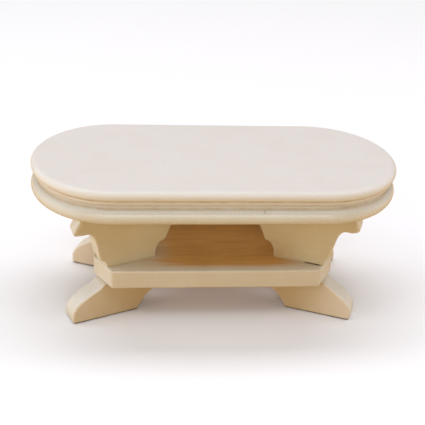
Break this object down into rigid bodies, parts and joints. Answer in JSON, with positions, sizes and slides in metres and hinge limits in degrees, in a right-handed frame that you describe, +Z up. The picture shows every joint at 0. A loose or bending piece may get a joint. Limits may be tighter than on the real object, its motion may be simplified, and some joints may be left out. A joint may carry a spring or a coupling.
{
  "type": "miniature dining table",
  "caption": "Low oval dolls-house dining table in cream painted wood: a moulded oval top on shaped diagonal brackets, a shelf with clipped corners, and splayed feet.",
  "frame": {"origin": "on the floor, under the middle of the table", "axes": "+X along the length of the oval top, +Y across it towards the back, +Z up"},
  "size_m": [0.09, 0.0404, 0.0378],
  "materials": {
    "painted_top": "satin cream paint on the flat top, faint brush marks",
    "painted_rim": "satin cream paint on the large bead under the top",
    "painted_shelf": "satin cream paint on the shelf",
    "painted_leg": "satin cream paint on the brackets and feet, thinner on the edges"
  },
  "bodies": {
    "root": {"top_board": "painted_top", "top_under_board": "painted_rim", "shelf_board": "painted_shelf", "bracket_front_left": "painted_leg", "bracket_front_right": "painted_leg", "bracket_rear_right": "painted_leg", "bracket_rear_left": "painted_leg", "foot_front_left": "painted_leg", "foot_front_right": "painted_leg", "foot_rear_right": "painted_leg", "foot_rear_left": "painted_leg"}
  },
  "joints": []
}
